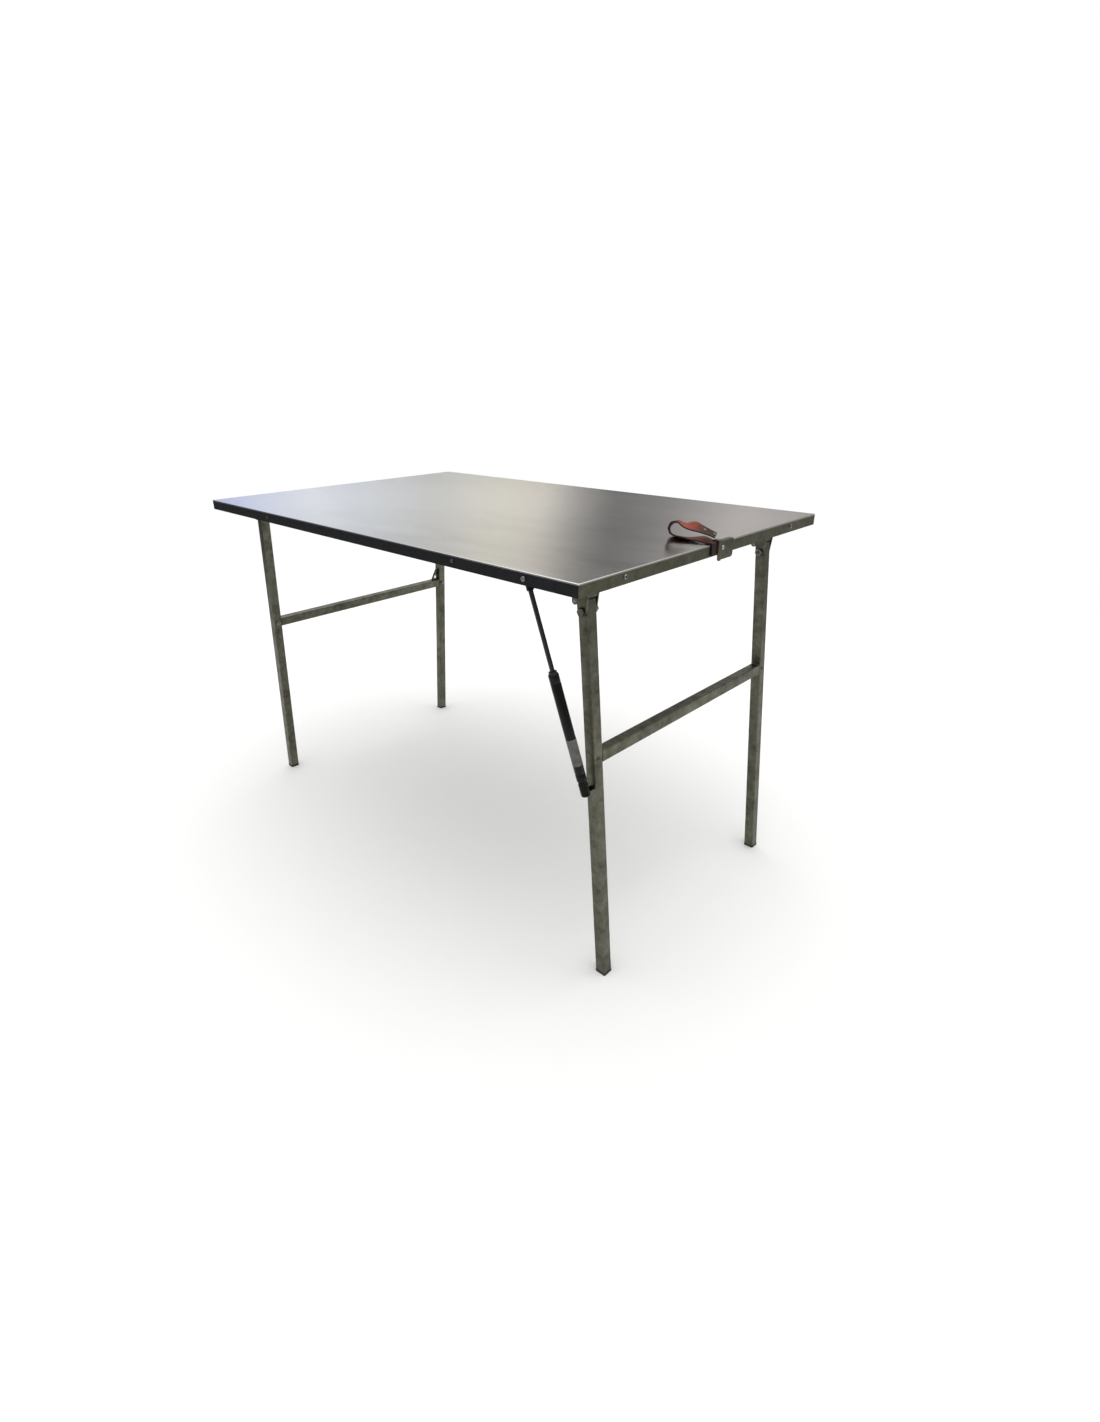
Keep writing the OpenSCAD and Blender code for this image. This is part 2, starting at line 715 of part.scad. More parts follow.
top_sheet();
rail(-1);  // rail_front
rail(1);  // rail_rear
tie_bar(-1);  // tie_bar_left
tie_bar(1);  // tie_bar_right
rail_bolts();
tie_bar_rivets();
hinge_bracket(1, -1);  // hinge_bracket_right_front
hinge_bracket(1, 1);  // hinge_bracket_right_rear
hinge_bracket(-1, -1);  // hinge_bracket_left_front
hinge_bracket(-1, 1);  // hinge_bracket_left_rear
bracket_screws();
stop_pins();
hinge_bolts(1);  // hinge_bolts_right
hinge_bolts(-1);  // hinge_bolts_left
hinge_nuts(1);  // hinge_nuts_right
hinge_nuts(-1);  // hinge_nuts_left
leg(1, -1);  // leg_right_front
leg(1, 1);  // leg_right_rear
crossbar(1);  // crossbar_right
bar_inserts(1);  // bar_inserts_right
bar_bolts(1);  // bar_bolts_right
bar_nuts(1);  // bar_nuts_right
leg_plugs(1);  // leg_plugs_right
foot(1, -1);  // foot_right_front
foot(1, 1);  // foot_right_rear
strut_leg_bolt();
leg(-1, -1);  // leg_left_front
leg(-1, 1);  // leg_left_rear
crossbar(-1);  // crossbar_left
bar_inserts(-1);  // bar_inserts_left
bar_bolts(-1);  // bar_bolts_left
bar_nuts(-1);  // bar_nuts_left
leg_plugs(-1);  // leg_plugs_left
foot(-1, -1);  // foot_left_front
foot(-1, 1);  // foot_left_rear
corner_gusset();
strut_rim_stud();
strut_rim_nut();
rod_eye();
strut_rod();
strut_piston();
strut_barrel();
strut_guide();
rod_seal();
strut_label();
barrel_socket();
barrel_stud();
strap_plate();
strap_screw();
leather_strap();
strap_rivets();
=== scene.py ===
import json
import math
import bmesh
import bpy
from mathutils import Matrix, Vector


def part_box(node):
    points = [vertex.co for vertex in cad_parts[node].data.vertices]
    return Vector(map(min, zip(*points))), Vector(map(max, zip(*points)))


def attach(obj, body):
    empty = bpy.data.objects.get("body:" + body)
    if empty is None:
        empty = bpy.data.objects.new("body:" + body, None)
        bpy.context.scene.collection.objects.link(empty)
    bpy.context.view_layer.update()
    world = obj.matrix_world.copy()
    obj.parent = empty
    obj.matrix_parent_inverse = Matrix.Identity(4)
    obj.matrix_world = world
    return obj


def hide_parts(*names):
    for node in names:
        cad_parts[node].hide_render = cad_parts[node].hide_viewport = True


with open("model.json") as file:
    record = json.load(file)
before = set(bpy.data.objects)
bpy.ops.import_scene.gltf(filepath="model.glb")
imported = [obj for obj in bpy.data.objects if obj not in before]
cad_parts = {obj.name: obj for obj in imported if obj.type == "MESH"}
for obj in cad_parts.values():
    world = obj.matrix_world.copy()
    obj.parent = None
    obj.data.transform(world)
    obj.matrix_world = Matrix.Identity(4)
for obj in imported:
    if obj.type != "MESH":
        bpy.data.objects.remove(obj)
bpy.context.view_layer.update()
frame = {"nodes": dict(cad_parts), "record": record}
nodes = frame["nodes"]
mm = 0.001
print("frame loaded:", len(nodes), "nodes")


# ---- camera ----

viewCamera = {
    "place": (1.2688, -1.1527, 1.0705),
    "azimuth": 44.516,
    "elevation": 24.257,
    "roll": -0.724,
    "lens": 18.186,
    "shift": (0.0122, -0.0064),
}


def addCamera():
    azimuth = math.radians(viewCamera["azimuth"])
    elevation = math.radians(viewCamera["elevation"])
    roll = math.radians(viewCamera["roll"])
    ahead = Vector((-math.sin(azimuth) * math.cos(elevation),
                    math.cos(azimuth) * math.cos(elevation), -math.sin(elevation)))
    right = Vector((math.cos(azimuth), math.sin(azimuth), 0))
    down = ahead.cross(right)
    rolledRight = right * math.cos(roll) - down * math.sin(roll)
    rolledDown = right * math.sin(roll) + down * math.cos(roll)
    turned = Matrix((rolledRight, -rolledDown, -ahead)).transposed().to_4x4()
    lensData = bpy.data.cameras.new("tableCamera")
    lensData.lens = viewCamera["lens"]
    lensData.shift_x, lensData.shift_y = viewCamera["shift"]
    lensData.clip_start = 0.01
    cameraObject = bpy.data.objects.new("tableCamera", lensData)
    cameraObject.matrix_world = Matrix.Translation(viewCamera["place"]) @ turned
    bpy.context.scene.collection.objects.link(cameraObject)
    bpy.context.scene.camera = cameraObject


addCamera()
print("camera placed")


# ---- colours and nodes ----

def hexColour(text, alpha=1.0):
    def linear(value):
        return value / 12.92 if value <= 0.04045 else ((value + 0.055) / 1.055) ** 2.4
    parts = [int(text[i:i + 2], 16) / 255 for i in (1, 3, 5)]
    return (*[linear(part) for part in parts], alpha)


# adds one node, with its settings and the sockets that feed it
def addNode(tree, kind, settings=None, **inputs):
    node = tree.nodes.new(kind)
    for name, value in (settings or {}).items():
        setattr(node, name, value)
    for name, value in inputs.items():
        key = int(name[1:]) if name[0] == "i" and name[1:].isdigit() else name.replace("_", " ")
        socket = node.inputs[key]
        if isinstance(value, bpy.types.NodeSocket):
            tree.links.new(value, socket)
        else:
            socket.default_value = value
    return node


def newMaterial(name, **shaderValues):
    material = bpy.data.materials.new(name)
    material.use_nodes = True
    tree = material.node_tree
    tree.nodes.clear()
    shader = addNode(tree, "ShaderNodeBsdfPrincipled", None, **shaderValues)
    addNode(tree, "ShaderNodeOutputMaterial", None, Surface=shader.outputs[0])
    return material, tree, shader


def objectPoint(tree, scale=(1, 1, 1), turn=(0, 0, 0)):
    place = addNode(tree, "ShaderNodeTexCoord")
    return addNode(tree, "ShaderNodeMapping", None, Vector=place.outputs["Object"],
                   Scale=scale, Rotation=turn).outputs[0]


def rampNode(tree, factor, stops):
    ramp = addNode(tree, "ShaderNodeValToRGB", None, Fac=factor)
    elements = ramp.color_ramp.elements
    while len(elements) < len(stops):
        elements.new(0.5)
    for element, (position, colour) in zip(elements, stops):
        element.position = position
        element.color = colour
    return ramp.outputs["Color"]


def bumpInto(tree, shader, height, distance, strength=1.0):
    bump = addNode(tree, "ShaderNodeBump", None, Height=height, Distance=distance, Strength=strength)
    tree.links.new(bump.outputs[0], shader.inputs["Normal"])


# ---- materials ----

sheetLook = {"pitch": 4.4 * mm, "depth": 0.075 * mm, "smear": 90 * mm}


# Rolled, galvanised and embossed steel sheet: a satin mirror broken up by rows
# of fine dots that run at 45 degrees, drawn 4.4 mm apart so that they show.
def embossedSheetSteel():
    material, tree, shader = newMaterial("embossedSheetSteel", Metallic=1.0)
    point = objectPoint(tree, turn=(0, 0, math.radians(45)))
    parts = addNode(tree, "ShaderNodeSeparateXYZ", None, Vector=point)
    waves = []
    for axis in (0, 1):
        turns = addNode(tree, "ShaderNodeMath", {"operation": "MULTIPLY"},
                        i0=parts.outputs[axis], i1=2 * math.pi / sheetLook["pitch"])
        waves.append(addNode(tree, "ShaderNodeMath", {"operation": "SINE"}, i0=turns.outputs[0]))
    dots = addNode(tree, "ShaderNodeMath", {"operation": "MULTIPLY"},
                   i0=waves[0].outputs[0], i1=waves[1].outputs[0])
    smear = addNode(tree, "ShaderNodeTexNoise", None,
                    Vector=objectPoint(tree, scale=(0.35, 1, 1)), Scale=1 / sheetLook["smear"],
                    Detail=4.0, Roughness=0.6)
    fine = addNode(tree, "ShaderNodeTexNoise", None, Vector=objectPoint(tree), Scale=1 / (7 * mm),
                   Detail=3.0, Roughness=0.65)
    both = addNode(tree, "ShaderNodeMath", {"operation": "MULTIPLY"},
                   i0=smear.outputs[0], i1=fine.outputs[0])
    colour = rampNode(tree, smear.outputs[0],
                      [(0.32, hexColour("#b6b5b3")), (0.70, hexColour("#c3c2bf"))])
    roughness = addNode(tree, "ShaderNodeMapRange", None, Value=both.outputs[0],
                        From_Min=0.12, From_Max=0.42, To_Min=0.13, To_Max=0.22)
    tree.links.new(colour, shader.inputs["Base Color"])
    tree.links.new(roughness.outputs[0], shader.inputs["Roughness"])
    bumpInto(tree, shader, dots.outputs[0], sheetLook["depth"], 0.5)
    return material


enamelLook = {"orangePeel": 3 * mm, "peelDepth": 0.02 * mm, "speck": 26 * mm}


# Stoved enamel on steel: smooth and fairly glossy, with a faint orange peel,
# slightly uneven colour and a few rubbed, duller places.
def stovedEnamel(name, dark, light, roughLow=0.26, roughHigh=0.42):
    material, tree, shader = newMaterial(name, IOR=1.5)
    shader.inputs["Specular IOR Level"].default_value = 0.16
    cloud = addNode(tree, "ShaderNodeTexNoise", None, Vector=objectPoint(tree),
                    Scale=1 / enamelLook["speck"], Detail=5.0, Roughness=0.6)
    peel = addNode(tree, "ShaderNodeTexNoise", None, Vector=objectPoint(tree),
                   Scale=1 / enamelLook["orangePeel"], Detail=2.0, Roughness=0.5)
    colour = rampNode(tree, cloud.outputs[0], [(0.34, hexColour(dark)), (0.68, hexColour(light))])
    roughness = addNode(tree, "ShaderNodeMapRange", None, Value=cloud.outputs[0],
                        From_Min=0.3, From_Max=0.7, To_Min=roughHigh, To_Max=roughLow)
    tree.links.new(colour, shader.inputs["Base Color"])
    tree.links.new(roughness.outputs[0], shader.inputs["Roughness"])
    bumpInto(tree, shader, peel.outputs[0], enamelLook["peelDepth"])
    return material


# Zinc-plated steel: a pale, slightly blotched grey metal with soft highlights.
def zincPlate(name, dark, light, rough=0.34):
    material, tree, shader = newMaterial(name, Metallic=1.0)
    cloud = addNode(tree, "ShaderNodeTexNoise", None, Vector=objectPoint(tree), Scale=1 / (2.5 * mm),
                    Detail=4.0, Roughness=0.6)
    colour = rampNode(tree, cloud.outputs[0], [(0.35, hexColour(dark)), (0.65, hexColour(light))])
    roughness = addNode(tree, "ShaderNodeMapRange", None, Value=cloud.outputs[0],
                        From_Min=0.3, From_Max=0.7, To_Min=rough + 0.1, To_Max=rough - 0.06)
    tree.links.new(colour, shader.inputs["Base Color"])
    tree.links.new(roughness.outputs[0], shader.inputs["Roughness"])
    bumpInto(tree, shader, cloud.outputs[0], 0.02 * mm)
    return material


# Moulded polyethylene or rubber: matt, with a fine spark-eroded grain.
def mouldedPlastic(name, dark, light, rough=0.55, grain=0.5 * mm):
    material, tree, shader = newMaterial(name, IOR=1.49)
    fine = addNode(tree, "ShaderNodeTexNoise", None, Vector=objectPoint(tree), Scale=1 / grain,
                   Detail=2.0, Roughness=0.5)
    cloud = addNode(tree, "ShaderNodeTexNoise", None, Vector=objectPoint(tree), Scale=1 / (9 * mm),
                    Detail=4.0, Roughness=0.6)
    colour = rampNode(tree, cloud.outputs[0], [(0.35, hexColour(dark)), (0.65, hexColour(light))])
    roughness = addNode(tree, "ShaderNodeMapRange", None, Value=cloud.outputs[0],
                        From_Min=0.3, From_Max=0.7, To_Min=rough - 0.05, To_Max=rough + 0.1)
    tree.links.new(colour, shader.inputs["Base Color"])
    tree.links.new(roughness.outputs[0], shader.inputs["Roughness"])
    bumpInto(tree, shader, fine.outputs[0], 0.03 * mm)
    return material


# Black-nitrided and ground rod: near-black steel with a clean gloss and very
# fine rings round it.
def groundRod():
    material, tree, shader = newMaterial("blackNitridedRod", Metallic=0.6, IOR=1.6)
    rings = addNode(tree, "ShaderNodeTexNoise", None, Vector=objectPoint(tree, scale=(0.05, 0.05, 1)),
                    Scale=1 / (0.6 * mm), Detail=2.0, Roughness=0.5)
    colour = rampNode(tree, rings.outputs[0],
                      [(0.3, hexColour("#141415")), (0.7, hexColour("#232324"))])
    roughness = addNode(tree, "ShaderNodeMapRange", None, Value=rings.outputs[0],
                        From_Min=0.3, From_Max=0.7, To_Min=0.18, To_Max=0.26)
    tree.links.new(colour, shader.inputs["Base Color"])
    tree.links.new(roughness.outputs[0], shader.inputs["Roughness"])
    bumpInto(tree, shader, rings.outputs[0], 0.004 * mm)
    return material


leatherLook = {"grain": 1.1 * mm, "grainDepth": 0.10 * mm, "cloud": 14 * mm}


# Vegetable-tanned strap leather: orange-brown, with a pebbled grain and random
# blotches, darkened nearly to black by painted shade over the rim and at the stud end,
# and with waxed, burnished, dark edges. The attribute "across" is 0 at the middle of
# the strap and 1 at its edges; "paintedShade" says how much painted shade it gets.
def strapLeather(name, light, mid, dark, shadeColour, edge, rough=0.5):
    material, tree, shader = newMaterial(name, IOR=1.45)
    shader.inputs["Specular IOR Level"].default_value = 0.35
    across = addNode(tree, "ShaderNodeAttribute", {"attribute_name": "across"})
    paintedShade = addNode(tree, "ShaderNodeAttribute", {"attribute_name": "paintedShade"})
    grain = addNode(tree, "ShaderNodeTexVoronoi", {"feature": "SMOOTH_F1"}, Vector=objectPoint(tree),
                    Scale=1 / leatherLook["grain"])
    cloud = addNode(tree, "ShaderNodeTexNoise", None, Vector=objectPoint(tree),
                    Scale=1 / leatherLook["cloud"], Detail=5.0, Roughness=0.65)
    face = rampNode(tree, cloud.outputs[0], [(0.30, hexColour(dark)), (0.50, hexColour(mid)),
                                            (0.68, hexColour(light))])
    blotch = addNode(tree, "ShaderNodeMath", {"operation": "MULTIPLY_ADD"},
                     i0=cloud.outputs[0], i1=0.5, i2=-0.25)
    # painted shade: the per-row shade attribute plus random blotches darkens the face towards the shade
    # colour
    shadeAndBlotch = addNode(tree, "ShaderNodeMath", {"operation": "ADD", "use_clamp": True},
                    i0=paintedShade.outputs["Fac"], i1=blotch.outputs[0])
    shadedAndBlotched = addNode(tree, "ShaderNodeMix", {"data_type": "RGBA"}, i0=shadeAndBlotch.outputs[0],
                      i6=face, i7=hexColour(shadeColour))
    edgeMask = addNode(tree, "ShaderNodeMapRange", {"interpolation_type": "SMOOTHSTEP"},
                       Value=across.outputs["Fac"], From_Min=0.84, From_Max=0.98)
    colour = addNode(tree, "ShaderNodeMix", {"data_type": "RGBA"}, i0=edgeMask.outputs[0],
                     i6=shadedAndBlotched.outputs["Result"], i7=hexColour(edge))
    roughness = addNode(tree, "ShaderNodeMapRange", None, Value=cloud.outputs[0],
                        From_Min=0.3, From_Max=0.7, To_Min=rough + 0.1, To_Max=rough - 0.05)
    tree.links.new(colour.outputs["Result"], shader.inputs["Base Color"])
    tree.links.new(roughness.outputs[0], shader.inputs["Roughness"])
    bumpInto(tree, shader, grain.outputs["Distance"], leatherLook["grainDepth"], 0.8)
    return material


tubeLook = {"spangle": 7 * mm, "scuff": 30 * mm, "drawn": 1.4 * mm, "depth": 0.02 * mm}


# Galvanised, weathered steel tube and edging: a dull dark-grey metal with a
# greenish cast, a faint zinc spangle, cloudy rubbed places and fine roll lines.
def galvanisedSteel(name, dark, light, roughLow=0.30, roughHigh=0.48):
    material, tree, shader = newMaterial(name, Metallic=1.0)
    spangle = addNode(tree, "ShaderNodeTexVoronoi", {"feature": "F1"}, Vector=objectPoint(tree),
                      Scale=1 / tubeLook["spangle"])
    scuff = addNode(tree, "ShaderNodeTexNoise", None, Vector=objectPoint(tree),
                    Scale=1 / tubeLook["scuff"], Detail=6.0, Roughness=0.62)
    drawn = addNode(tree, "ShaderNodeTexNoise", None, Vector=objectPoint(tree, scale=(1, 1, 0.06)),
                    Scale=1 / tubeLook["drawn"], Detail=2.0, Roughness=0.5)
    crystal = addNode(tree, "ShaderNodeSeparateXYZ", None, Vector=spangle.outputs["Color"])
    mixed = addNode(tree, "ShaderNodeMath", {"operation": "MULTIPLY_ADD"},
                    i0=crystal.outputs[0], i1=0.16, i2=scuff.outputs[0])
    colour = rampNode(tree, mixed.outputs[0], [(0.36, hexColour(dark)), (0.78, hexColour(light))])
    roughness = addNode(tree, "ShaderNodeMapRange", None, Value=mixed.outputs[0],
                        From_Min=0.35, From_Max=0.8, To_Min=roughHigh, To_Max=roughLow)
    tree.links.new(colour, shader.inputs["Base Color"])
    tree.links.new(roughness.outputs[0], shader.inputs["Roughness"])
    bumpInto(tree, shader, drawn.outputs[0], tubeLook["depth"], 0.6)
    return material


sheetSteel = embossedSheetSteel()
tubeSteel = galvanisedSteel("galvanisedSteelTube", "#4b4a40", "#69685c")
rimSteel = galvanisedSteel("galvanisedEdgeAngle", "#4f4e42", "#646355")
# a darker copy of the edge angle: painted shade for the long rims, which face away from the light
shadedRimSteel = galvanisedSteel("paintedShadeEdgeAngle", "#26272a", "#303133")
plateSteel = galvanisedSteel("galvanisedClampPlate", "#54534a", "#6c6b60", 0.34, 0.5)
strutPaint = stovedEnamel("blackStovedEnamel", "#080808", "#101011", 0.14, 0.24)
zinc = zincPlate("zincPlatedSteel", "#6b6b69", "#93938f")
brightZinc = zincPlate("brightZincScrew", "#a6a6a2", "#cbcbc6", 0.26)
blackOxide = zincPlate("blackOxideSteel", "#141414", "#242423", 0.38)
blackPlastic = mouldedPlastic("mouldedPolyethylene", "#0f0f0f", "#1c1c1b")
sealRubber = mouldedPlastic("nitrileRubber", "#101010", "#191919", 0.7)
labelFilm = mouldedPlastic("blankVinylLabel", "#42413d", "#605f5a", 0.4, 0.8 * mm)
brass = zincPlate("agedBrass", "#564f3e", "#767058", 0.4)
blackRod = groundRod()
# the fourth colour of each leather is the near-black painted shade laid over the rim and at the stud end
grainLeather = strapLeather("orangeStrapLeather", "#93380f", "#7c2c0b", "#5f1f08", "#1f0b06", "#120705")
fleshLeather = strapLeather("fleshSideLeather", "#8d3411", "#77290c", "#591d09", "#1c0a06", "#120705", 0.62)
print("materials made")

slotMaterials = {
    "sheet_steel": sheetSteel,
    "frame_steel": tubeSteel,
    "zinc_steel": zinc,
    "black_bolt": blackOxide,
    "black_plastic": blackPlastic,
    "strut_enamel": strutPaint,
    "rod_black": blackRod,
    "seal_rubber": sealRubber,
    "label_grey": labelFilm,
    "plate_steel": plateSteel,
    "strap_leather": grainLeather,
    "rivet_brass": brass,
}
for part in frame["record"]["subparts"]:
    mesh = nodes[part["node"]].data
    mesh.materials.clear()
    mesh.materials.append(slotMaterials[part["material_slot"]])

# the hinges' bolt and screw heads have gone as dull as the frame
for name in ("hinge_bolts_right", "hinge_bolts_left", "bracket_screws"):
    nodes[name].data.materials[0] = tubeSteel


# ---- making pieces ----

# turns a finished bmesh into a piece that rides on a body
def finishPiece(shape, name, body, materials, replaced=()):
    mesh = bpy.data.meshes.new(name)
    shape.to_mesh(mesh)
    shape.free()
    piece = bpy.data.objects.new(name, mesh)
    bpy.context.scene.collection.objects.link(piece)
    for material in materials:
        mesh.materials.append(material)
    mesh.shade_smooth()
    mesh.set_sharp_from_angle(angle=math.radians(35))
    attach(piece, body)
    if replaced:
        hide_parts(*replaced)
    return piece


# adds a profile of (radius, height) points turned once round the Z axis
def spinProfile(shape, points, steps=32, place=Matrix.Identity(4)):
    made = [shape.verts.new((radius, 0, height)) for radius, height in points]
    edges = [shape.edges.new(pair) for pair in zip(made, made[1:])]
    bmesh.ops.spin(shape, geom=made + edges, cent=(0, 0, 0), axis=(0, 0, 1),
                   angle=2 * math.pi, steps=steps, use_merge=True)
    faces = set(f for v in made for f in v.link_faces)
    grown = set(faces)
    while grown:
        grown = {f for face in grown for e in face.edges for f in e.link_faces} - faces
        faces |= grown
    bmesh.ops.remove_doubles(shape, verts=list({v for f in faces for v in f.verts}), dist=1e-7)
    verts = list({v for f in shape.faces if f.is_valid and f in faces for v in f.verts})
    bmesh.ops.transform(shape, matrix=place, verts=verts)


# a matrix that takes +Z to a direction and the origin to a point
def placeAlong(point, direction):
    turn = Vector(direction).to_track_quat("Z", "Y").to_matrix().to_4x4()
    return Matrix.Translation(point) @ turn


# ---- tray: sheet with a turned-down edge over a darker rim; the long sides get painted shade ----

tray = {"bend": 1.8 * mm, "bendSteps": 4, "wrap": 2.6 * mm, "corner": 3.0 * mm, "wall": 1.2 * mm}


def makeTray():
    low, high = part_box("top_sheet")
    size = high - low
    shape = bmesh.new()
    bmesh.ops.create_cube(shape, size=1.0)
    bmesh.ops.scale(shape, vec=size, verts=shape.verts)
    bmesh.ops.translate(shape, vec=(low + high) / 2, verts=shape.verts)
    uprights = [e for e in shape.edges if abs(e.verts[0].co.z - e.verts[1].co.z) > size.z / 2]
    bmesh.ops.bevel(shape, geom=uprights, offset=tray["corner"], offset_type="OFFSET", segments=5,
                    profile=0.5, material=-1, affect="EDGES")
    under = [f for f in shape.faces if f.normal.z < -0.9]
    bmesh.ops.delete(shape, geom=under, context="FACES")
    top = [e for e in shape.edges if all(v.co.z > high.z - 1e-6 for v in e.verts)]
    bmesh.ops.bevel(shape, geom=top, offset=tray["bend"], offset_type="OFFSET",
                    segments=tray["bendSteps"], profile=0.5, material=-1, affect="EDGES")
    # the sheet ends a little way down the rim
    bmesh.ops.bisect_plane(shape, geom=shape.verts[:] + shape.edges[:] + shape.faces[:],
                           plane_co=(0, 0, high.z - tray["wrap"]), plane_no=(0, 0, 1))
    for face in shape.faces:
        sideways = abs(face.normal.y) > abs(face.normal.x)
        isRim = face.calc_center_median().z < high.z - tray["wrap"]
        # the long, sideways-facing rim faces take the darker copy as painted shade
        face.material_index = (2 if sideways else 1) if isRim else 0
    bmesh.ops.recalc_face_normals(shape, faces=shape.faces)
    if sum(f.normal.z * f.calc_area() for f in shape.faces) < 0:
        bmesh.ops.reverse_faces(shape, faces=shape.faces)
    bmesh.ops.solidify(shape, geom=shape.faces[:], thickness=tray["wall"])
    return finishPiece(shape, "traySheet", "table_top", [sheetSteel, rimSteel, shadedRimSteel],
                       replaced=["top_sheet"])


makeTray()
print("tray made")


# ---- lofted pieces ----

# joins rings of equally many points into a closed solid
def loft(shape, rings, slots=(0,)):
    made = [[shape.verts.new(point) for point in ring] for ring in rings]
    faces = []
    for first, second in zip(made, made[1:]):
        for i in range(len(first)):
            k = (i + 1) % len(first)
            face = shape.faces.new((first[i], first[k], second[k], second[i]))
            face.material_index = slots[i % len(slots)]
            faces.append(face)
    for ring in (made[0], made[-1]):
        faces.append(shape.faces.new(ring))
    bmesh.ops.recalc_face_normals(shape, faces=faces)


# the mean of a node's farthest points in a direction, out of those that are kept
def farPoint(name, direction, keep=lambda point: True):
    way = Vector(direction)
    points = [nodes[name].matrix_world @ v.co for v in nodes[name].data.vertices]
    points = [point for point in points if keep(point)]
    reach = max(point.dot(way) for point in points)
    ends = [point for point in points if point.dot(way) > reach - 0.02 * mm]
    return sum(ends, Vector()) / len(ends)


# a smooth curve through rows of numbers, at a place between 0 and the last row
def throughRows(rows, place):
    i = min(int(place), len(rows) - 2)
    t = place - i
    before, here, there, after = (rows[min(max(k, 0), len(rows) - 1)] for k in (i - 1, i, i + 1, i + 2))
    return [0.5 * (2 * q + (r - p) * t + (2 * p - 5 * q + 4 * r - s) * t * t
                   + (3 * q - p - 3 * r + s) * t ** 3)
            for p, q, r, s in zip(before, here, there, after)]


# ---- carrying strap: one band that lies on the sheet, turns over and comes back ----

# Rows of the band's middle line, in mm from the rim's top edge at the strap's
# middle, each followed by the direction across the band. It lies flat at the
# rim, stands on edge at the far end and comes back turned towards the near side.
strap = {
    "half": 13.4 * mm,
    "thick": 2.7 * mm,
    "edge": 0.8 * mm,
    "steps": 9,
    "crown": 0.5 * mm,
    "rows": [
        (1.7, 0, -19.5, 0, 1, 0),
        (1.7, 0, -9, 0, 1, 0),
        (1.7, 0, -2.2, 0, 1, 0),
        (0.9, 0, 0.8, 0, 1, 0),
        (-2.0, 0, 1.7, 0, 1, 0),
        (-12, -0.5, 2.4, 0, 1, 0.05),
        (-27, -1.5, 5.2, -0.03, 0.99, 0.15),
        (-42, -3.5, 4.2, -0.28, 0.95, 0.02),
        (-58, -5, 3.9, -0.50, 0.85, -0.14),
        (-78, -5, 4.4, -0.54, 0.82, -0.18),
        (-90, -4, 7.5, -0.54, 0.82, -0.18),
        (-94.5, -3, 14.5, -0.54, 0.82, -0.18),
        (-91.5, -4, 22, -0.54, 0.82, -0.18),
        (-82, -6, 28.3, -0.54, 0.82, -0.18),
        (-68, -9, 30, -0.54, 0.82, -0.16),
        (-56, -10, 28.5, -0.48, 0.85, 0.12),
        (-41, -8.5, 27, -0.36, 0.83, 0.42),
        (-28, -4, 23, -0.40, 0.86, 0.30),
        (-15, 2.5, 17.5, -0.43, 0.89, 0.18),
        (-4.3, 8, 12.4, -0.44, 0.89, 0.13),
    ],
    # how much painted shade darkens the leather, from row to row
    "paintedShade": [1, 1, 1, 0.95, 0.75, 0.45, 0.2, 0.35, 0.5, 0.5,
              0.5, 0.5, 0.5, 0.45, 0.3, 0.05, 0.1, 0.75, 0.95, 1],
    "studs": (17.45, 18.7),
    "studRadius": 3.4 * mm,
    "studHeight": 1.7 * mm,
    "studRim": 0.25 * mm,
    "studShank": 1.2 * mm,
    "studReach": 2.6 * mm,
}


def strapFrame(place):
    rows = strap["rows"]
    low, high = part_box("leather_strap")
    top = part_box("top_sheet")[1]
    corner = Vector((top.x, (low.y + high.y) / 2, top.z))
    here = throughRows(rows, place)
    ahead = throughRows(rows, min(place + 0.05, len(rows) - 1.001))
    behind = throughRows(rows, max(place - 0.05, 0))
    middle = corner + Vector(here[:3]) * mm
    along = (Vector(ahead[:3]) - Vector(behind[:3])).normalized()
    across = Vector(here[3:])
    across = (across - along * across.dot(along)).normalized()
    return middle, across, across.cross(along), top.z


def strapPoint(place, across, out):
    middle, side, up, sheetZ = strapFrame(place)
    point = middle + side * across + up * out
    if place > 4:
        point.z = max(point.z, sheetZ + 0.15 * mm)
    return point


def makeStrap():
    half, thick, edge = strap["half"], strap["thick"] / 2, strap["edge"]
    count = strap["steps"]
    flat = [-half + edge + (half - edge) * 2 * i / (count - 1) for i in range(count)]
    section = [(a, thick + strap["crown"] * (0.25 - (a / half) ** 2) * 0.5) for a in flat]
    cut = edge * 0.3
    section += [(half - cut, thick - cut), (half, 0), (half - cut, -thick + cut)]
    section += [(a, -thick) for a in reversed(flat)]
    section += [(-half + cut, -thick + cut), (-half, 0), (-half + cut, thick - cut)]
    slots = [0] * (count + 2) + [1] * (count - 1) + [0] * 4
    last = len(strap["rows"]) - 1
    shape = bmesh.new()
    acrossLayer = shape.verts.layers.float.new("across")
    # painted shade for each vertex, taken from the rows' values
    paintedShadeLayer = shape.verts.layers.float.new("paintedShade")
    rings = []
    for i in range(last * 8 + 1):
        place = i / 8
        rings.append([strapPoint(place, a, b) for a, b in section])
    loft(shape, rings, slots)
    shape.verts.ensure_lookup_table()
    for i, vert in enumerate(shape.verts):
        row, column = divmod(i, len(section))
        ends = 1.0 if row in (0, last * 8) else 0.0
        vert[acrossLayer] = max(abs(section[column][0]) / half, ends)
        vert[paintedShadeLayer] = throughRows([(value,) for value in strap["paintedShade"]], row / 8)[0]
    return finishPiece(shape, "strapBand", "table_top", [grainLeather, fleshLeather],
                       replaced=["leather_strap"])


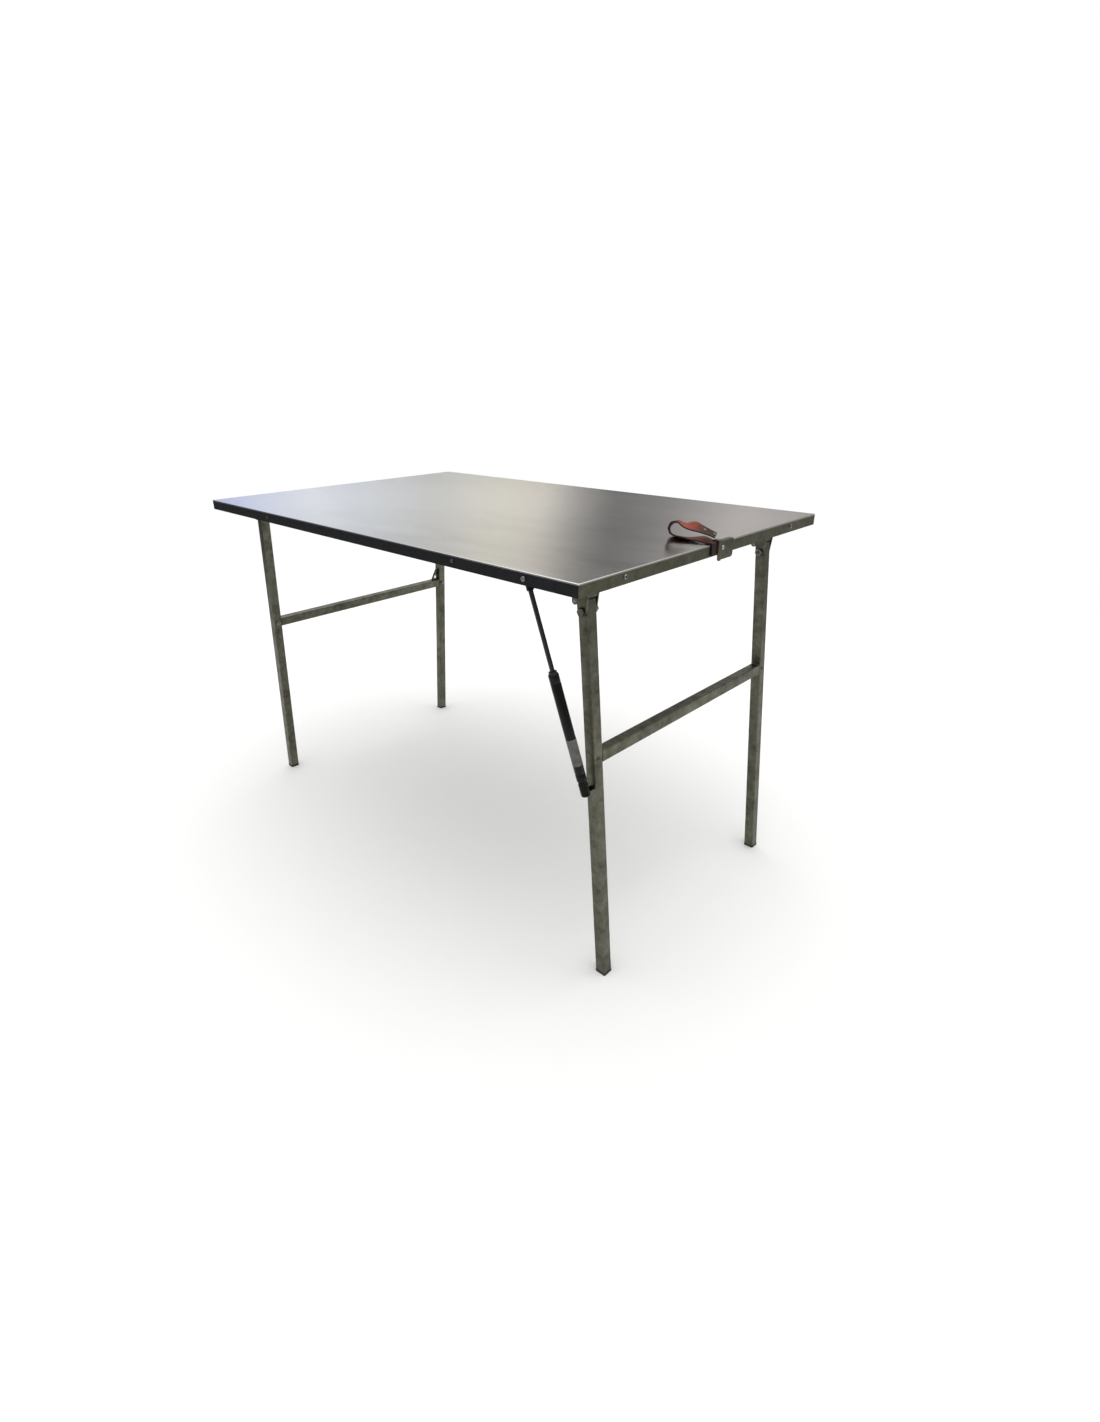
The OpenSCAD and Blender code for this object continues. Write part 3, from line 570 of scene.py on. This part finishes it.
def makeStuds():
    radius, height, rim = strap["studRadius"], strap["studHeight"], strap["studRim"]
    shank, reach, sunk = strap["studShank"], strap["studReach"], 0.1 * mm
    profile = [(0, -reach), (shank, -reach), (shank, -sunk), (radius * 0.96, -sunk), (radius, rim)]
    for k in range(1, 6):
        turn = math.radians(15 * k)
        profile.append((radius * math.cos(turn), rim + (height - rim) * math.sin(turn)))
    profile.append((0, height))
    shape = bmesh.new()
    for place in strap["studs"]:
        up = strapFrame(place)[2]
        foot = strapPoint(place, 0, -strap["thick"] / 2 - 0.05 * mm)
        spinProfile(shape, profile, 28, placeAlong(foot, -up))
    bmesh.ops.recalc_face_normals(shape, faces=shape.faces)
    return finishPiece(shape, "strapStuds", "table_top", [brass], replaced=["strap_rivets"])


makeStrap()
makeStuds()
print("strap made")


# ---- clamp plate: one pressed strip that steps out over the strap ----

clamp = {"thick": 2.0 * mm, "innerBend": 0.4 * mm, "bendSteps": 5, "jog": 3.0 * mm, "corner": 5.0 * mm,
         "strapGap": 3.3 * mm, "lay": 0.3 * mm, "edge": 0.35 * mm}


def makeClamp():
    low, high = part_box("strap_plate")
    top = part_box("top_sheet")[1]
    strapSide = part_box("leather_strap")[1].y + 1.5 * mm + clamp["thick"] / 2
    thick, inner, edge, corner = (clamp[key] for key in ("thick", "innerBend", "edge", "corner"))
    steps = [low.y + corner * (1 - math.sin(math.radians(a))) for a in (90, 84, 72, 58, 42, 25, 0)]
    steps += [strapSide + clamp["jog"] * (k / 6 - 0.5) for k in range(7)]
    steps += [strapSide + clamp["jog"] + 4 * mm, high.y - 2 * corner]
    steps += [high.y - corner * (1 - math.sin(math.radians(a))) for a in (0, 15, 30, 45, 60, 75, 85, 90)]
    arc = [math.radians(90 * k / clamp["bendSteps"]) for k in range(clamp["bendSteps"] + 1)]
    rings = []
    for y in steps:
        t = min(max((y - strapSide) / clamp["jog"] + 0.5, 0), 1)
        lift = clamp["strapGap"] * (1 - t * t * (3 - 2 * t))
        past = max(y - high.y + corner, low.y + corner - y, 0)
        rise = corner - math.sqrt(max(corner ** 2 - past ** 2, 0))
        shrink = edge if y in (steps[0], steps[-1]) else 0
        faceX, topZ = top.x + clamp["lay"] * 0.3 + lift, top.z + clamp["lay"] + lift
        foot, tip = low.z + rise * 0.98, low.x
        centreX, centreZ = faceX - inner, topZ - inner
        outerArc, innerArc = inner + thick - shrink, inner + shrink
        ring = [(faceX + shrink, foot + shrink + edge), (faceX + edge, foot + shrink),
                (faceX + thick - edge, foot + shrink), (faceX + thick - shrink, foot + shrink + edge)]
        ring += [(centreX + outerArc * math.cos(a), centreZ + outerArc * math.sin(a)) for a in arc]
        ring += [(tip + shrink + edge, topZ + thick - shrink), (tip + shrink, topZ + thick - edge),
                 (tip + shrink, topZ + edge), (tip + shrink + edge, topZ + shrink)]
        ring += [(centreX + innerArc * math.cos(a), centreZ + innerArc * math.sin(a)) for a in reversed(arc)]
        rings.append([(x, y, z) for x, z in ring])
    shape = bmesh.new()
    loft(shape, rings)
    return finishPiece(shape, "strapClamp", "table_top", [plateSteel],
                       replaced=["strap_plate"])


makeClamp()
print("clamp plate made")


# ---- bolts with domed heads and a hexagon socket ----

socketBolt = {"recess": 0.42, "depth": 0.6, "steps": 24}


# a ring of points round +Z: a circle, or a hexagon of the same outer radius
def boltRing(radius, height, sides=0):
    ring = []
    for i in range(socketBolt["steps"]):
        turn = 2 * math.pi * i / socketBolt["steps"]
        reach = radius
        if sides:
            wedge = 2 * math.pi / sides
            reach = radius * math.cos(wedge / 2) / math.cos(turn % wedge - wedge / 2)
        ring.append(Vector((reach * math.cos(turn), reach * math.sin(turn), height)))
    return ring


# adds one bolt: the head's flat side is at the point, the head along the direction
def addBolt(shape, point, direction, radius, height, shank, length):
    recess, depth = radius * socketBolt["recess"], height * socketBolt["depth"]
    rings = [boltRing(recess * 0.97, height - depth, 6), boltRing(recess, height - 0.1 * mm, 6),
             boltRing(recess * 1.12, height, 0)]
    for k in range(1, 7):
        turn = math.radians(90 - 13 * k)
        rings.append(boltRing(radius * (0.42 + 0.58 * math.cos(turn)),
                              height * (0.14 + 0.86 * math.sin(turn))))
    rings += [boltRing(radius, height * 0.14), boltRing(radius * 0.985, 0), boltRing(shank, -0.02 * mm),
              boltRing(shank, -length + 0.4 * mm), boltRing(shank * 0.85, -length)]
    place = placeAlong(point, direction)
    loft(shape, [[place @ v for v in ring] for ring in rings])


bolts = {
    "rail": {"radius": 4.5 * mm, "height": 2.5 * mm, "shank": 2.5 * mm, "length": 16 * mm},
    "bar": {"radius": 4.2 * mm, "height": 1.8 * mm, "shank": 3.0 * mm, "length": 25.5 * mm},
    "strap": {"radius": 4.0 * mm, "height": 2.4 * mm, "shank": 2.5 * mm, "length": 9 * mm},
}


# finds a node's heads, one for each side of the table in y, and makes them anew
def makeBolts(name, nodeName, kind, body, material, ways):
    shape = bmesh.new()
    size = bolts[kind]
    for way in ways:
        for side in (-1, 1):
            head = farPoint(nodeName, way, lambda point: point.y * side > 0)
            addBolt(shape, head - Vector(way).normalized() * size["height"], way, **size)
    return finishPiece(shape, name, body, [material], replaced=[nodeName])


lean = math.radians(4.8)
makeBolts("railBolts", "rail_bolts", "rail", "table_top", zinc, [(1, 0, 0), (-1, 0, 0)])
makeBolts("barBoltsRight", "bar_bolts_right", "bar", "right_frame", tubeSteel,
          [(math.cos(lean), 0, math.sin(lean))])
makeBolts("barBoltsLeft", "bar_bolts_left", "bar", "left_frame", tubeSteel,
          [(-math.cos(lean), 0, math.sin(lean))])


def makeStrapScrew():
    shape = bmesh.new()
    size = bolts["strap"]
    low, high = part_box("strap_screw")
    middle = (low + high) / 2
    addBolt(shape, Vector((high.x - size["height"], middle.y, middle.z)), (1, 0, 0), **size)
    place = placeAlong(Vector((low.x, middle.y, middle.z)), (1, 0, 0))
    rings = [boltRing(4.2 * mm, 0, 6), boltRing(4.6 * mm, 0.3 * mm, 6), boltRing(4.6 * mm, 3 * mm, 6)]
    loft(shape, [[place @ v for v in ring] for ring in rings])
    return finishPiece(shape, "strapScrew", "table_top", [brightZinc], replaced=["strap_screw"])


makeStrapScrew()
print("bolts made")


# ---- strut: a drawn tube rolled in at both ends, and the fitting below it ----

strut = {"roll": 2.6 * mm, "groove": 16 * mm, "grooveDepth": 0.45 * mm, "nose": 0.6,
         "lip": 0.3 * mm, "throat": 9 * mm}
# the black end fitting that turns on the lower ball
endFitting = {"round": 2.2 * mm, "collar": 5 * mm, "collarDepth": 0.7 * mm,
              "bevel": (0.6 * mm, 0.8 * mm)}


# the strut's direction: the line through the middles of its rod's two ends
def strutWay():
    points = [v.co for v in nodes["strut_rod"].data.vertices]
    middle = (max(p.z for p in points) + min(p.z for p in points)) / 2
    ends = [[p for p in points if (p.z > middle) == upper] for upper in (True, False)]
    top, foot = (sum(end, Vector()) / len(end) for end in ends)
    return (top - foot).normalized()


# the radius of a round node about a line
def nodeRadius(name, point, way):
    return max((v.co - point).cross(way).length for v in nodes[name].data.vertices)


def makeStrutBody():
    up = strutWay()
    upper = farPoint("strut_barrel", up)
    lower = farPoint("strut_barrel", -up)
    length = (upper - lower).length
    radius = nodeRadius("strut_barrel", lower, up)
    nose, mouth = radius * strut["nose"], nodeRadius("strut_rod", lower, up) + strut["lip"]
    roll, groove, dip = strut["roll"], strut["groove"], strut["grooveDepth"]
    profile = [(0, 0), (nose, 0), (nose + 0.5 * mm, 0.15 * mm)]
    for degrees in (15, 35, 55, 75, 90):
        turn = math.radians(degrees)
        profile.append((radius - roll * (1 - math.sin(turn)), strut["lip"] + roll * (1 - math.cos(turn))))
    for centre in (groove, length - groove):
        profile += [(radius - dip * k, centre + offset * mm) for offset, k in
                    ((-1.2, 0), (-0.8, 0.35), (-0.35, 0.9), (0, 1), (0.35, 0.9), (0.8, 0.35), (1.2, 0))]
    for degrees in (0, 15, 35, 55, 75, 90):
        turn = math.radians(degrees)
        profile.append((radius - roll * (1 - math.cos(turn)), length - roll * (1 - math.sin(turn))))
    lip = strut["lip"]
    profile += [(mouth + lip, length), (mouth, length - lip), (mouth, length - strut["throat"])]
    shape = bmesh.new()
    spinProfile(shape, profile, 48, placeAlong(lower, up))
    bmesh.ops.recalc_face_normals(shape, faces=shape.faces)
    return finishPiece(shape, "strutBody", "strut_barrel_side", [strutPaint],
                       replaced=["strut_barrel"])


def makeEndFitting():
    up = strutWay()
    upper, lower = farPoint("barrel_socket", up), farPoint("barrel_socket", -up)
    length, radius = (upper - lower).length, nodeRadius("barrel_socket", lower, up)
    turned, collar, depth = endFitting["round"], endFitting["collar"], endFitting["collarDepth"]
    profile = [(0, 0)]
    for degrees in (0, 20, 40, 60, 75, 90):
        turn = math.radians(degrees)
        profile.append((radius - turned * (1 - math.sin(turn)), turned * (1 - math.cos(turn))))
    waist, (inwards, downwards) = radius - depth, endFitting["bevel"]
    profile += [(radius, length - collar - depth), (waist, length - collar), (waist, length - downwards),
                (waist - inwards, length), (0, length)]
    shape = bmesh.new()
    spinProfile(shape, profile, 40, placeAlong(lower, up))
    bmesh.ops.recalc_face_normals(shape, faces=shape.faces)
    return finishPiece(shape, "strutEndFitting", "strut_barrel_side", [blackOxide],
                       replaced=["barrel_socket"])


makeStrutBody()
makeEndFitting()
print("strut made")


# ---- weld beads where the crossbars meet the legs ----

weld = {"radius": 1.7 * mm, "ripple": 1.5 * mm, "depth": 0.16, "sink": 0.45,
        "halfTube": 11 * mm, "corner": 2.2 * mm}


# adds a rippled bead between two points
def addBead(shape, start, end):
    way = (end - start).normalized()
    length = (end - start).length
    count = int(length / weld["ripple"] * 4)
    rings = []
    for i in range(count + 1):
        s = i / count
        taper = min(1.0, 0.35 + 3.2 * min(s, 1 - s))
        swell = 1 + weld["depth"] * math.sin(2 * math.pi * s * length / weld["ripple"])
        place = placeAlong(start + way * length * s, way)
        radius = weld["radius"] * taper * swell
        rings.append([place @ Vector((radius * math.cos(a), radius * math.sin(a), 0))
                      for a in (2 * math.pi * k / 12 for k in range(12))])
    loft(shape, rings)


def makeWelds(name, body, barName, side):
    shape = bmesh.new()
    tilt = Vector((side * math.cos(lean), 0, math.sin(lean)))
    rise = Vector((-side * math.sin(lean), 0, math.cos(lean)))
    low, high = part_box(barName)
    middle = (low + high) / 2
    half = weld["halfTube"]
    for y, turn in ((low.y, 1), (high.y, -1)):
        end = Vector((middle.x, y + turn * weld["radius"] * weld["sink"], middle.z))
        reach = half - weld["corner"]
        for way, across in ((rise, tilt), (-rise, tilt), (-tilt, rise)):
            face = end + way * (half + weld["radius"] * (1 - 2 * weld["sink"]) * 0.4)
            addBead(shape, face - across * reach, face + across * reach)
    return finishPiece(shape, name, body, [tubeSteel])


makeWelds("weldBeadsRight", "right_frame", "crossbar_right", 1)
makeWelds("weldBeadsLeft", "left_frame", "crossbar_left", -1)
print("welds made")


# ---- stage: a pale floor that fades into a white surround ----

stage = {"floor": "#e6e6e5", "radius": 4.6, "fadeFrom": 1.5, "surround": (1.0, 1.0, 1.0)}


def addFloor():
    shape = bmesh.new()
    bmesh.ops.create_circle(shape, cap_ends=True, segments=96, radius=stage["radius"])
    mesh = bpy.data.meshes.new("paleFloor")
    shape.to_mesh(mesh)
    shape.free()
    floor = bpy.data.objects.new("paleFloor", mesh)
    bpy.context.scene.collection.objects.link(floor)
    material, tree, shader = newMaterial("mattFloorPaint", Roughness=0.75)
    shader.inputs["Base Color"].default_value = hexColour(stage["floor"])
    point = addNode(tree, "ShaderNodeTexCoord").outputs["Object"]
    reach = addNode(tree, "ShaderNodeVectorMath", {"operation": "LENGTH"}, i0=point)
    fade = addNode(tree, "ShaderNodeMapRange", {"interpolation_type": "SMOOTHSTEP"},
                   Value=reach.outputs["Value"], From_Min=stage["fadeFrom"], From_Max=stage["radius"] - 0.2)
    clear = addNode(tree, "ShaderNodeBsdfTransparent")
    mixed = addNode(tree, "ShaderNodeMixShader", None, i0=fade.outputs[0], i1=shader.outputs[0],
                    i2=clear.outputs[0])
    output = next(n for n in tree.nodes if n.type == "OUTPUT_MATERIAL")
    tree.links.new(mixed.outputs[0], output.inputs["Surface"])
    mesh.materials.append(material)


# Light of the surround from left to right as the camera sees it: dark at the
# left, a cool window, then a cream one, and a dim room at the right. The colours
# are divided by "scale" for the ramp and multiplied again by the background.
surround = {
    "sides": [
        (-1.0, (0.10, 0.10, 0.11)), (-0.70, (0.16, 0.16, 0.18)), (-0.60, (0.85, 0.86, 0.92)),
        (-0.50, (0.60, 0.63, 0.90)), (-0.44, (0.56, 0.61, 1.00)), (-0.36, (0.85, 0.91, 1.10)),
        (-0.29, (1.00, 1.03, 1.10)),
        (-0.24, (0.88, 0.92, 1.00)), (-0.12, (0.79, 0.79, 0.78)), (-0.04, (0.92, 0.90, 0.81)),
        (0.0, (0.92, 0.88, 0.79)), (0.035, (0.88, 0.84, 0.77)), (0.08, (0.48, 0.465, 0.45)),
        (0.13, (0.21, 0.205, 0.20)), (0.20, (0.31, 0.30, 0.30)), (0.30, (0.66, 0.62, 0.60)),
        (0.42, (0.44, 0.425, 0.415)), (0.55, (0.40, 0.385, 0.375)), (1.0, (0.40, 0.39, 0.35)),
    ],
    "behind": (0.45, 0.45, 0.44),
    "above": (1.9, 1.9, 1.88),
    "scale": 2.1,
}


def addSurround():
    world = bpy.data.worlds.new("studioSurround")
    world.use_nodes = True
    tree = world.node_tree
    tree.nodes.clear()
    along = addNode(tree, "ShaderNodeTexCoord").outputs["Generated"]
    turned = addNode(tree, "ShaderNodeMapping", {"vector_type": "VECTOR"}, Vector=along,
                     Rotation=(0, 0, -math.radians(viewCamera["azimuth"])))
    parts = addNode(tree, "ShaderNodeSeparateXYZ", None, Vector=turned.outputs[0])
    side = addNode(tree, "ShaderNodeMapRange", None, Value=parts.outputs[0], From_Min=-1, From_Max=1)
    scale = surround["scale"]
    ramp = rampNode(tree, side.outputs[0], [((place + 1) / 2, (*[c / scale for c in colour], 1))
                                           for place, colour in surround["sides"]])
    behind = addNode(tree, "ShaderNodeMapRange", {"interpolation_type": "SMOOTHSTEP"},
                     Value=parts.outputs[1], From_Min=0.1, From_Max=-0.5)
    room = addNode(tree, "ShaderNodeMix", {"data_type": "RGBA"}, i0=behind.outputs[0], i6=ramp,
                   i7=(*[c / scale for c in surround["behind"]], 1))
    above = addNode(tree, "ShaderNodeMapRange", {"interpolation_type": "SMOOTHSTEP"},
                    Value=parts.outputs[2], From_Min=0.42, From_Max=0.80)
    whole = addNode(tree, "ShaderNodeMix", {"data_type": "RGBA"}, i0=above.outputs[0],
                    i6=room.outputs["Result"], i7=(*[c / scale for c in surround["above"]], 1))
    lit = addNode(tree, "ShaderNodeBackground", None, Color=whole.outputs["Result"], Strength=scale)
    seen = addNode(tree, "ShaderNodeBackground", None, Color=(*stage["surround"], 1), Strength=1.0)
    ray = addNode(tree, "ShaderNodeLightPath")
    mixed = addNode(tree, "ShaderNodeMixShader", None, i0=ray.outputs["Is Camera Ray"],
                    i1=lit.outputs[0], i2=seen.outputs[0])
    addNode(tree, "ShaderNodeOutputWorld", None, Surface=mixed.outputs[0])
    bpy.context.scene.world = world


studioLamps = {
    "overhead": {"place": (0.2, 0.3, 3.6), "aim": (0, 0, 0), "size": 3.4, "power": 22, "tint": "#ffffff"},
}


def addLamps():
    for name, lamp in studioLamps.items():
        light = bpy.data.lights.new(name, "AREA")
        light.size = lamp["size"]
        light.energy = lamp["power"]
        light.color = hexColour(lamp["tint"])[:3]
        lampObject = bpy.data.objects.new(name, light)
        place, aim = Vector(lamp["place"]), Vector(lamp["aim"])
        lampObject.matrix_world = placeAlong(place, place - aim)
        bpy.context.scene.collection.objects.link(lampObject)


addFloor()
addSurround()
addLamps()
bpy.context.scene.view_settings.view_transform = "Standard"
print("stage set")
